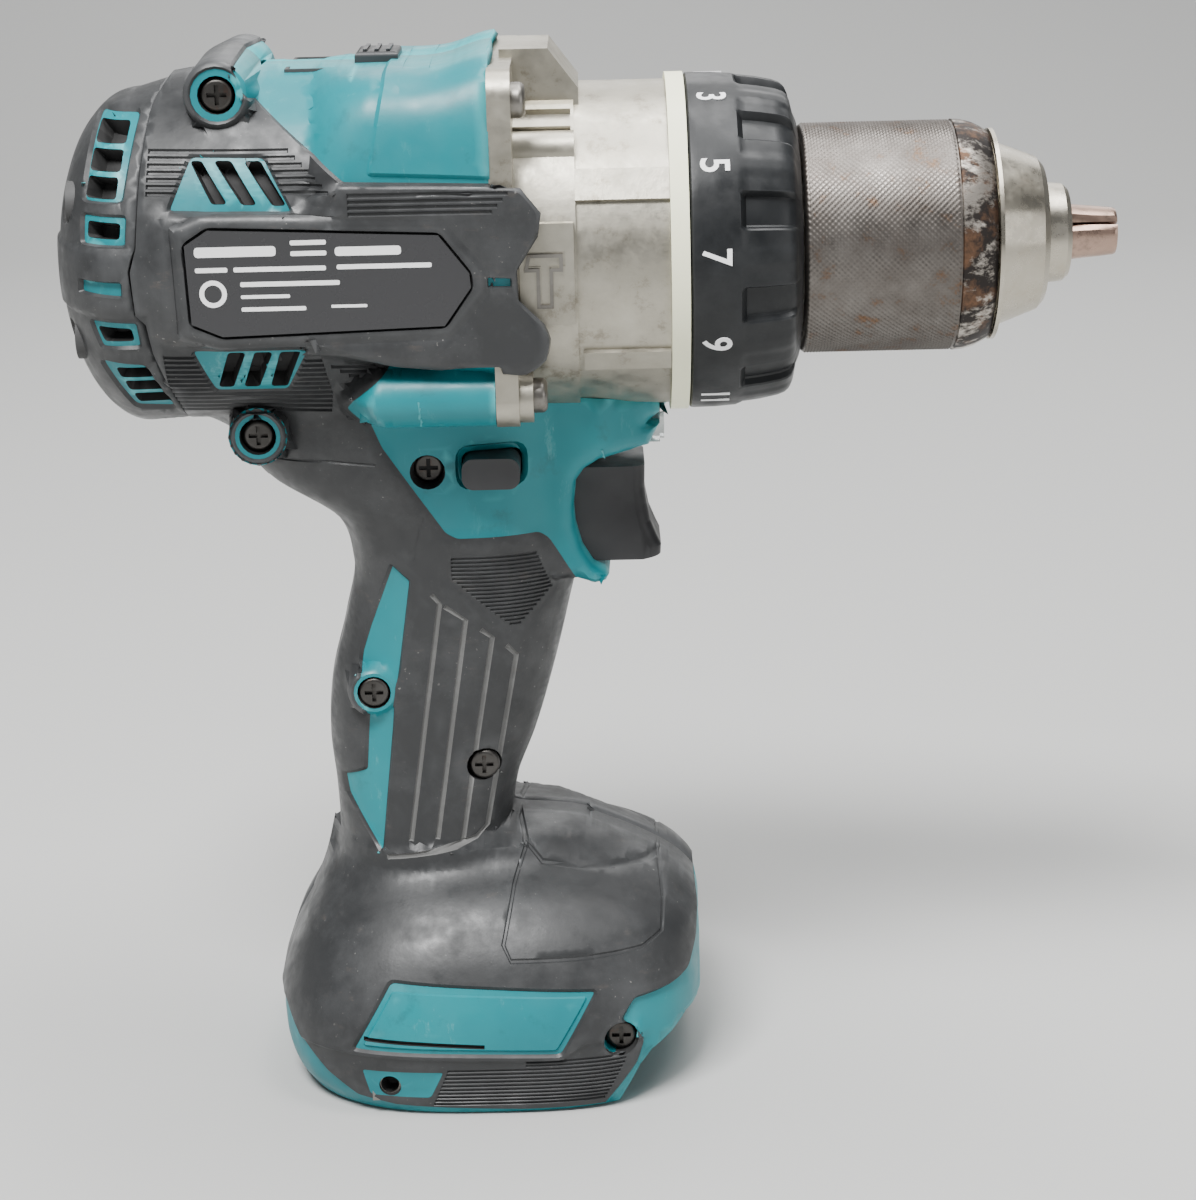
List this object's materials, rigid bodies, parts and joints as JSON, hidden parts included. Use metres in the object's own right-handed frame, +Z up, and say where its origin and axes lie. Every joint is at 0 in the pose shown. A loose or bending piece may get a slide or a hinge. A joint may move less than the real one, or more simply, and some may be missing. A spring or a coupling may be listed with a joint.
{
  "type": "cordless drill",
  "caption": "Cordless hammer drill driver: clamshell body with rubber grip, brushless motor, planetary gearbox, torque collar and keyless chuck; bare tool.",
  "frame": {"origin": "under the middle of the bounding box, on the plane of the battery foot", "axes": "+X out of the chuck along the spindle, +Y to the tool's left, +Z up"},
  "size_m": [0.187, 0.0786, 0.186],
  "materials": {
    "housing": "textured teal plastic with a dark grey rubber overmould",
    "dark_plastic": "fine texture",
    "black_gloss": "smooth",
    "label": "printed film",
    "cast_alloy": "die cast, satin",
    "cream_plastic": "moulded",
    "screw_steel": "zinc plated",
    "chuck_steel": "brushed",
    "knurled_steel": "worn, diamond knurl",
    "jaw_steel": "ground, stained",
    "gear_steel": "machined",
    "bearing_steel": "ground",
    "lamination": "stacked",
    "copper": "enamelled wire",
    "magnet": "nickel plated",
    "board": "circuit board",
    "contact": "plated",
    "lens": "clear",
    "spring_steel": "drawn wire",
    "lead": "insulated"
  },
  "bodies": {
    "housing": {"housing_right": "housing", "housing_left": "housing", "rear_cover": "housing", "housing_screws": "screw_steel", "rear_cover_screws": "screw_steel", "gear_case_screws": "screw_steel", "label_plates": "label", "gear_case": "cast_alloy", "gearbox_rear_cover": "dark_plastic", "indicator_ring": "cream_plastic", "stator_core": "lamination", "stator_windings": "copper", "sensor_board": "board", "motor_bearing_rear": "bearing_steel", "motor_bearing_front": "bearing_steel", "ring_gear_1": "gear_steel", "lock_ring": "gear_steel", "spindle_bearing_rear": "bearing_steel", "ratchet_fixed": "gear_steel", "spindle_bearing_front": "bearing_steel", "collar_retainer": "screw_steel", "clutch_pins": "gear_steel", "clutch_washer": "spring_steel", "clutch_spring": "spring_steel", "trigger_spring": "spring_steel", "switch_body": "black_gloss", "led_lens": "lens", "controller": "board", "terminal_block": "dark_plastic", "terminal_blades": "contact", "hook_nuts": "gear_steel", "wiring": "lead"},
    "rotor": {"rotor_shaft": "gear_steel", "rotor_core": "lamination", "rotor_magnets": "magnet", "fan": "dark_plastic"},
    "stage_1": {"carrier_1": "gear_steel"},
    "chuck": {"spindle": "gear_steel", "ratchet_rotating": "gear_steel", "chuck_body": "chuck_steel", "chuck_screw": "screw_steel"},
    "chuck_sleeve": {"chuck_sleeve": "knurled_steel", "jaw_nut": "gear_steel"},
    "torque_collar": {"torque_collar": "dark_plastic"},
    "clutch_nut": {"clutch_nut": "dark_plastic"},
    "trigger": {"trigger": "dark_plastic", "trigger_plunger": "black_gloss"},
    "direction_lever": {"direction_lever": "black_gloss"},
    "speed_lever": {"speed_lever": "black_gloss", "shift_yoke": "spring_steel", "ring_gear_2": "gear_steel"},
    "planet_1a": {"planet_1a": "gear_steel"},
    "planet_2a": {"planet_2a": "gear_steel"},
    "planet_1b": {"planet_1b": "gear_steel"},
    "planet_2b": {"planet_2b": "gear_steel"},
    "planet_1c": {"planet_1c": "gear_steel"},
    "planet_2c": {"planet_2c": "gear_steel"},
    "jaw_1": {"jaw_1": "jaw_steel"},
    "jaw_2": {"jaw_2": "jaw_steel"},
    "jaw_3": {"jaw_3": "jaw_steel"}
  },
  "joints": [
    {"name": "chuck_spin", "type": "hinge", "parent": "housing", "child": "chuck", "pos_m": [0.03, 0, 0.1505], "axis": [1, 0, 0], "continuous": true},
    {"name": "motor_spin", "type": "hinge", "parent": "housing", "child": "rotor", "pos_m": [-0.057, 0, 0.1505], "axis": [1, 0, 0], "continuous": true},
    {"name": "stage_1_spin", "type": "hinge", "parent": "housing", "child": "stage_1", "pos_m": [-0.02, 0, 0.1505], "axis": [1, 0, 0], "continuous": true},
    {"name": "planet_1a_spin", "type": "hinge", "parent": "stage_1", "child": "planet_1a", "pos_m": [-0.026, 0, 0.16332], "axis": [1, 0, 0], "continuous": true},
    {"name": "planet_2a_spin", "type": "hinge", "parent": "chuck", "child": "planet_2a", "pos_m": [-0.008, 0, 0.16332], "axis": [1, 0, 0], "continuous": true},
    {"name": "planet_1b_spin", "type": "hinge", "parent": "stage_1", "child": "planet_1b", "pos_m": [-0.026, -0.01111, 0.14409], "axis": [1, 0, 0], "continuous": true},
    {"name": "planet_2b_spin", "type": "hinge", "parent": "chuck", "child": "planet_2b", "pos_m": [-0.008, -0.01111, 0.14409], "axis": [1, 0, 0], "continuous": true},
    {"name": "planet_1c_spin", "type": "hinge", "parent": "stage_1", "child": "planet_1c", "pos_m": [-0.026, 0.01111, 0.14409], "axis": [1, 0, 0], "continuous": true},
    {"name": "planet_2c_spin", "type": "hinge", "parent": "chuck", "child": "planet_2c", "pos_m": [-0.008, 0.01111, 0.14409], "axis": [1, 0, 0], "continuous": true},
    {"name": "sleeve_turn", "type": "hinge", "parent": "chuck", "child": "chuck_sleeve", "pos_m": [0.055, 0, 0.1505], "axis": [1, 0, 0], "range_deg": [0, 5400]},
    {"name": "jaw_1_slide", "type": "slide", "parent": "chuck", "child": "jaw_1", "axis": [-0.9781, 0, 0.2079], "range_m": [0, 0.0241]},
    {"name": "jaw_2_slide", "type": "slide", "parent": "chuck", "child": "jaw_2", "axis": [-0.9781, -0.1801, -0.104], "range_m": [0, 0.0241]},
    {"name": "jaw_3_slide", "type": "slide", "parent": "chuck", "child": "jaw_3", "axis": [-0.9781, 0.1801, -0.104], "range_m": [0, 0.0241]},
    {"name": "collar_turn", "type": "hinge", "parent": "housing", "child": "torque_collar", "pos_m": [0.027, 0, 0.1505], "axis": [1, 0, 0], "range_deg": [-337, 0]},
    {"name": "clutch_nut_slide", "type": "slide", "parent": "housing", "child": "clutch_nut", "axis": [-1, 0, 0], "range_m": [0, 0.00451], "deforming": ["clutch_spring"]},
    {"name": "trigger_pull", "type": "slide", "parent": "housing", "child": "trigger", "axis": [-1, 0, 0], "range_m": [0, 0.006], "stiffness_N_per_m": 500, "springref_m": -0.006, "deforming": ["trigger_spring"]},
    {"name": "direction_slide", "type": "slide", "parent": "housing", "child": "direction_lever", "axis": [0, 1, 0], "range_m": [-0.003, 0.003]},
    {"name": "speed_slide", "type": "slide", "parent": "housing", "child": "speed_lever", "axis": [-1, 0, 0], "range_m": [0, 0.008]}
  ],
  "couplings": [
    {"joint": "motor_spin", "follows": "chuck_spin", "ratio": 29.16},
    {"joint": "stage_1_spin", "follows": "chuck_spin", "ratio": 5.4},
    {"joint": "planet_1a_spin", "follows": "chuck_spin", "ratio": -13.976},
    {"joint": "planet_2a_spin", "follows": "chuck_spin", "ratio": -2.5882},
    {"joint": "planet_1b_spin", "follows": "chuck_spin", "ratio": -13.976},
    {"joint": "planet_2b_spin", "follows": "chuck_spin", "ratio": -2.5882},
    {"joint": "planet_1c_spin", "follows": "chuck_spin", "ratio": -13.976},
    {"joint": "planet_2c_spin", "follows": "chuck_spin", "ratio": -2.5882},
    {"joint": "jaw_1_slide", "follows": "sleeve_turn", "m_per_rad": 0.00025465},
    {"joint": "jaw_2_slide", "follows": "sleeve_turn", "m_per_rad": 0.00025465},
    {"joint": "jaw_3_slide", "follows": "sleeve_turn", "m_per_rad": 0.00025465},
    {"joint": "clutch_nut_slide", "follows": "collar_turn", "m_per_rad": -0.00076508}
  ]
}
